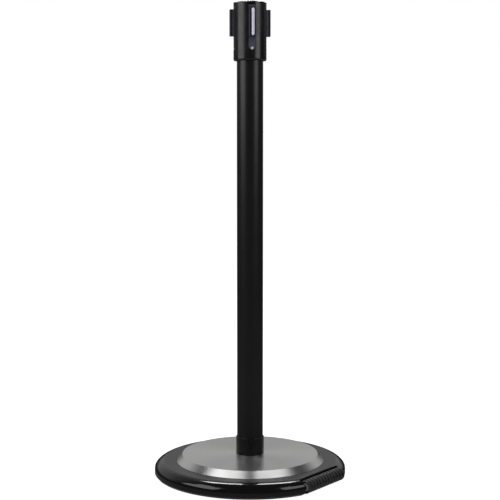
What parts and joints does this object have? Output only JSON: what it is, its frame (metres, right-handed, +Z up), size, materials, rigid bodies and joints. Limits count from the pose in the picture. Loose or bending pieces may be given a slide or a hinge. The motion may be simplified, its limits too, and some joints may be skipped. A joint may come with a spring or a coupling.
{
  "type": "retractable belt stanchion",
  "caption": "Retractable belt barrier post: slim round post on a weighted round base with an edge roller, and a head with a belt end and receivers.",
  "frame": {"origin": "on the floor, at the axis of the post and base", "axes": "+Z up along the post; the belt leaves the head towards -Y; the base's roller is half way between -Y and +X"},
  "size_m": [0.375, 0.375, 0.9196],
  "materials": {
    "cast_iron": "rough cast, painted",
    "floor_rubber": "matt",
    "ring_plastic": "satin top, glossy side",
    "stainless_cover": "circular brushed",
    "zinc_steel": "zinc plated",
    "bright_steel": "ground",
    "roller_rubber": "matt, ribbed",
    "grey_plastic": "moulded",
    "bearing_plastic": "smooth",
    "post_black": "satin powder coat",
    "collar_black": "matt",
    "cast_aluminium": "die cast",
    "head_black": "satin moulded",
    "liner_grey": "moulded",
    "receiver_black": "satin moulded",
    "belt_end_plastic": "satin moulded",
    "tongue_aluminium": "satin anodised",
    "spring_steel": "blued",
    "brake_lining": "friction lining",
    "belt_webbing": "woven polyester",
    "dome_silver": "silver, satin"
  },
  "bodies": {
    "stand": {"base_weight": "cast_iron", "floor_ring": "floor_rubber", "base_ring": "ring_plastic", "steel_cover": "stainless_cover", "roller_bracket": "zinc_steel", "bracket_screws": "zinc_steel", "ring_screws": "zinc_steel", "base_bolt": "zinc_steel", "base_washer": "zinc_steel", "spring_washer": "zinc_steel", "tube_insert": "zinc_steel", "cap_screw": "zinc_steel", "channel_screws": "zinc_steel", "receiver_screws": "zinc_steel", "cassette_base": "zinc_steel", "cassette_top": "zinc_steel", "cassette_pillars": "zinc_steel", "roller_axle": "bright_steel", "spool_shaft": "bright_steel", "guide_pins": "bright_steel", "spring_cup": "grey_plastic", "brake_drum": "grey_plastic", "post_tube": "post_black", "post_collar": "collar_black", "head_adapter": "cast_aluminium", "head_shell": "head_black", "top_cap": "head_black", "channel_insert_front": "liner_grey", "channel_insert_right": "liner_grey", "channel_insert_back": "liner_grey", "channel_insert_left": "liner_grey", "receiver_rail_right": "liner_grey", "receiver_rail_back": "liner_grey", "receiver_rail_left": "liner_grey", "receiver_clip_right": "receiver_black", "receiver_clip_back": "receiver_black", "receiver_clip_left": "receiver_black", "belt_mouth": "belt_end_plastic", "power_spring": "spring_steel", "belt_web": "belt_webbing", "cap_dome": "dome_silver"},
    "spool": {"spool": "grey_plastic", "spool_bushes": "bearing_plastic", "brake_shoes": "brake_lining", "belt_roll": "belt_webbing"},
    "belt_end": {"belt_end_body": "belt_end_plastic", "belt_end_tongue": "tongue_aluminium", "belt_end_pin": "bright_steel"},
    "roller": {"roller_sleeve": "roller_rubber", "roller_core": "grey_plastic", "roller_bushes": "bearing_plastic"}
  },
  "joints": [
    {"name": "belt_pull", "type": "slide", "parent": "stand", "child": "belt_end", "axis": [0, -1, 0], "range_m": [0, 2.1], "stiffness_N_per_m": 3, "springref_m": -3, "deforming": ["belt_web"]},
    {"name": "spool_spin", "type": "hinge", "parent": "stand", "child": "spool", "pos_m": [0, 0, 0.8739], "axis": [0, 0, 1], "range_deg": [-7970, 0], "deforming": ["power_spring"]},
    {"name": "roller_spin", "type": "hinge", "parent": "stand", "child": "roller", "pos_m": [0.12183, -0.12183, 0.0134], "axis": [0.7071, 0.7071, 0], "continuous": true}
  ],
  "couplings": [
    {"joint": "spool_spin", "follows": "belt_pull", "rad_per_m": -66.225}
  ]
}
